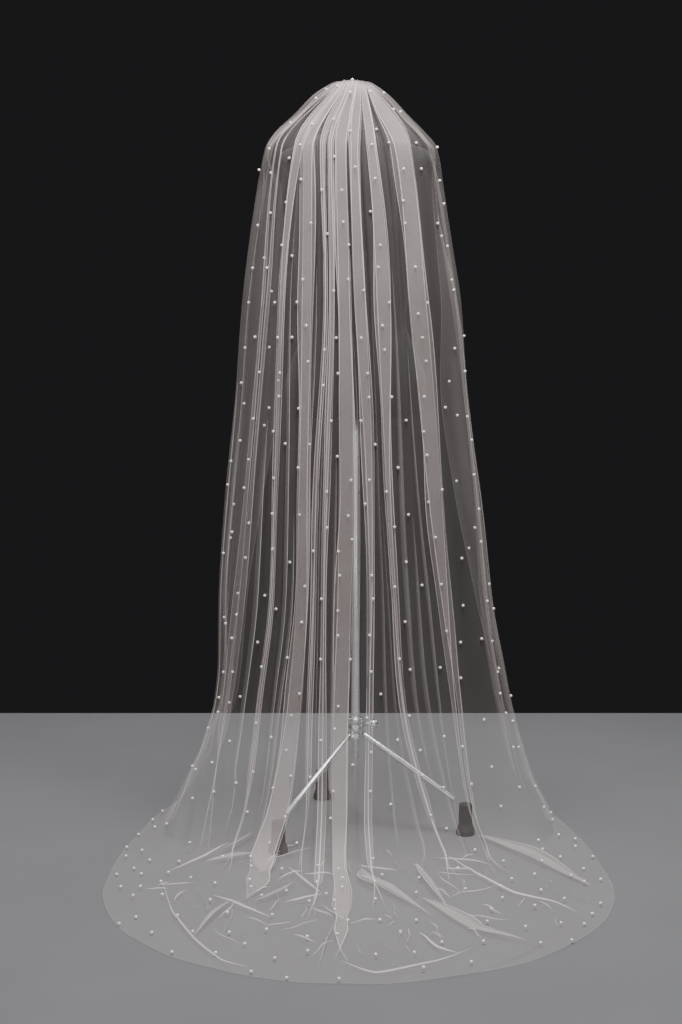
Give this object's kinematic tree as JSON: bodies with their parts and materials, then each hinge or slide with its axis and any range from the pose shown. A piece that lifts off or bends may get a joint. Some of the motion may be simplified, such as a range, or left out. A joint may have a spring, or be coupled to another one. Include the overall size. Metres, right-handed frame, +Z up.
{
  "type": "bridal veil on dress form stand",
  "caption": "Long soft tulle bridal veil with a rounded train, gathered over the neck of a limbless dress form on a tripod stand.",
  "frame": {"origin": "middle of the bounding box, on the floor", "axes": "+Z up, -Y towards the end of the train, +X to the right as seen from behind the veil"},
  "size_m": [1.0744, 1.2612, 1.7406],
  "materials": {
    "tulle": "soft fine net, matt",
    "satin_binding": "satin",
    "clear_comb": "clear moulded",
    "black_jersey": "fine knit, matt",
    "black_cap": "moulded",
    "chrome": "polished plate",
    "black_rubber": "matt moulded"
  },
  "bodies": {
    "root": {"veil_crown": "tulle", "veil_fall_left": "tulle", "veil_fall_back": "tulle", "veil_fall_right": "tulle", "veil_train": "tulle", "gather_band": "satin_binding", "comb": "clear_comb", "dress_form": "black_jersey", "neck_cap": "black_cap", "pole": "chrome", "hub": "chrome", "clamp_knob": "chrome", "leg_right": "chrome", "leg_left": "chrome", "leg_front": "chrome", "foot_right": "black_rubber", "foot_left": "black_rubber", "foot_front": "black_rubber"}
  },
  "joints": []
}
